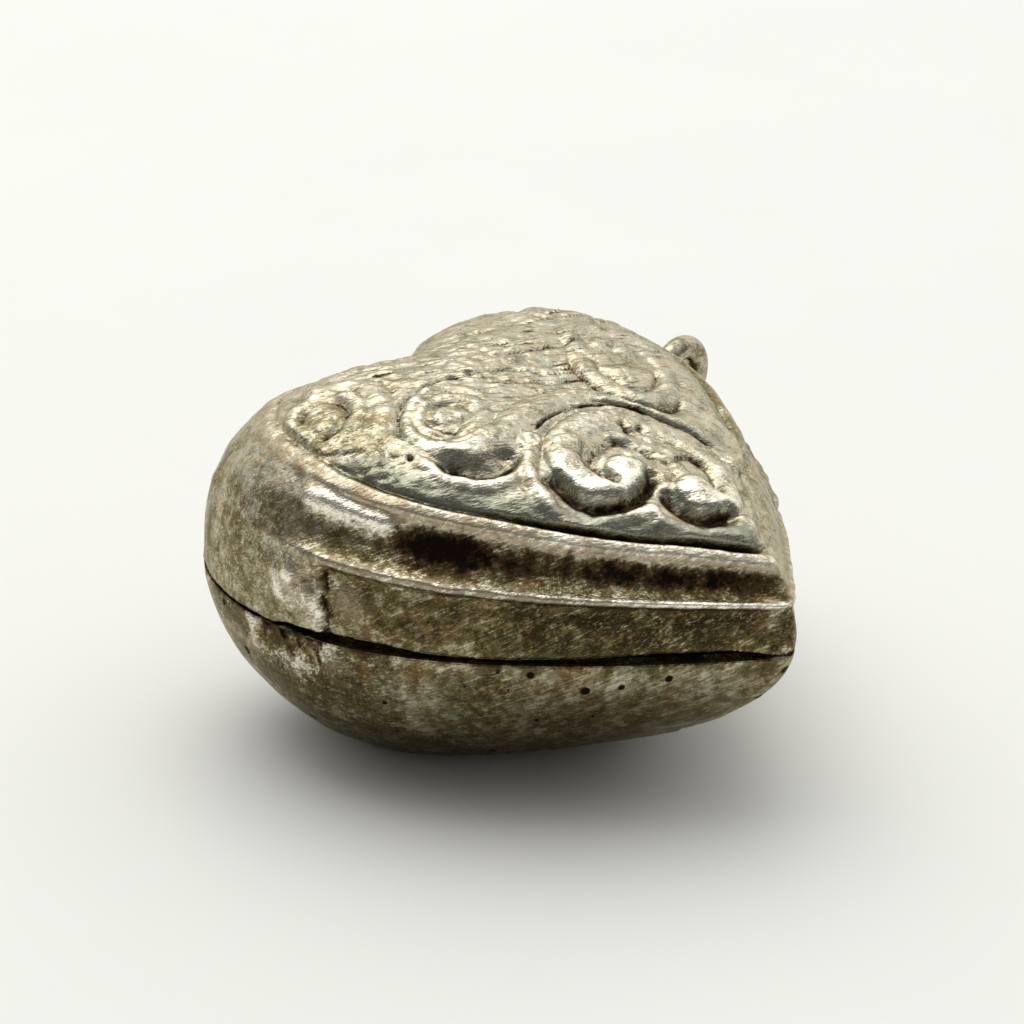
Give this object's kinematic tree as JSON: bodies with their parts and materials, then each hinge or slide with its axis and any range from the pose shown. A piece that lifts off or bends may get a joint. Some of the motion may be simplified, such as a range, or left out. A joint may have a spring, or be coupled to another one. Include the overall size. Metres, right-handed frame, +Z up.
{
  "type": "opening heart charm",
  "caption": "Tarnished silver heart charm of two hinged shells that open, with a scrolled front, raised borders and a wire bail loop.",
  "frame": {"origin": "middle of the flat land on the back shell's crown, on which the charm lies", "axes": "+Z up through the front shell, +Y from the heart's tip to its cleft, +X to the hinge and the bail"},
  "size_m": [0.0223, 0.0196, 0.0123],
  "materials": {
    "front_silver": "cast silver, worn bright on the scrolls and tarnished brown in the hollows",
    "back_silver": "smooth cast silver, scratched, with small casting pits",
    "inner_silver": "filed silver strip, tarnished",
    "hinge_silver": "drawn silver tube, tarnished",
    "pin_silver": "drawn wire, peened at both ends",
    "bail_silver": "drawn silver wire, rubbed bright"
  },
  "bodies": {
    "base": {"back_shell": "back_silver", "closing_rim": "inner_silver", "lower_hinge_knuckle": "hinge_silver", "upper_hinge_knuckle": "hinge_silver", "hinge_pin": "pin_silver"},
    "lid": {"front_shell": "front_silver", "middle_hinge_knuckle": "hinge_silver", "bail_loop": "bail_silver"}
  },
  "joints": [
    {"name": "lid_hinge", "type": "hinge", "parent": "base", "child": "lid", "pos_m": [0.01055, 0.0012, 0.0059], "axis": [0, 1, 0], "range_deg": [0, 110]}
  ]
}
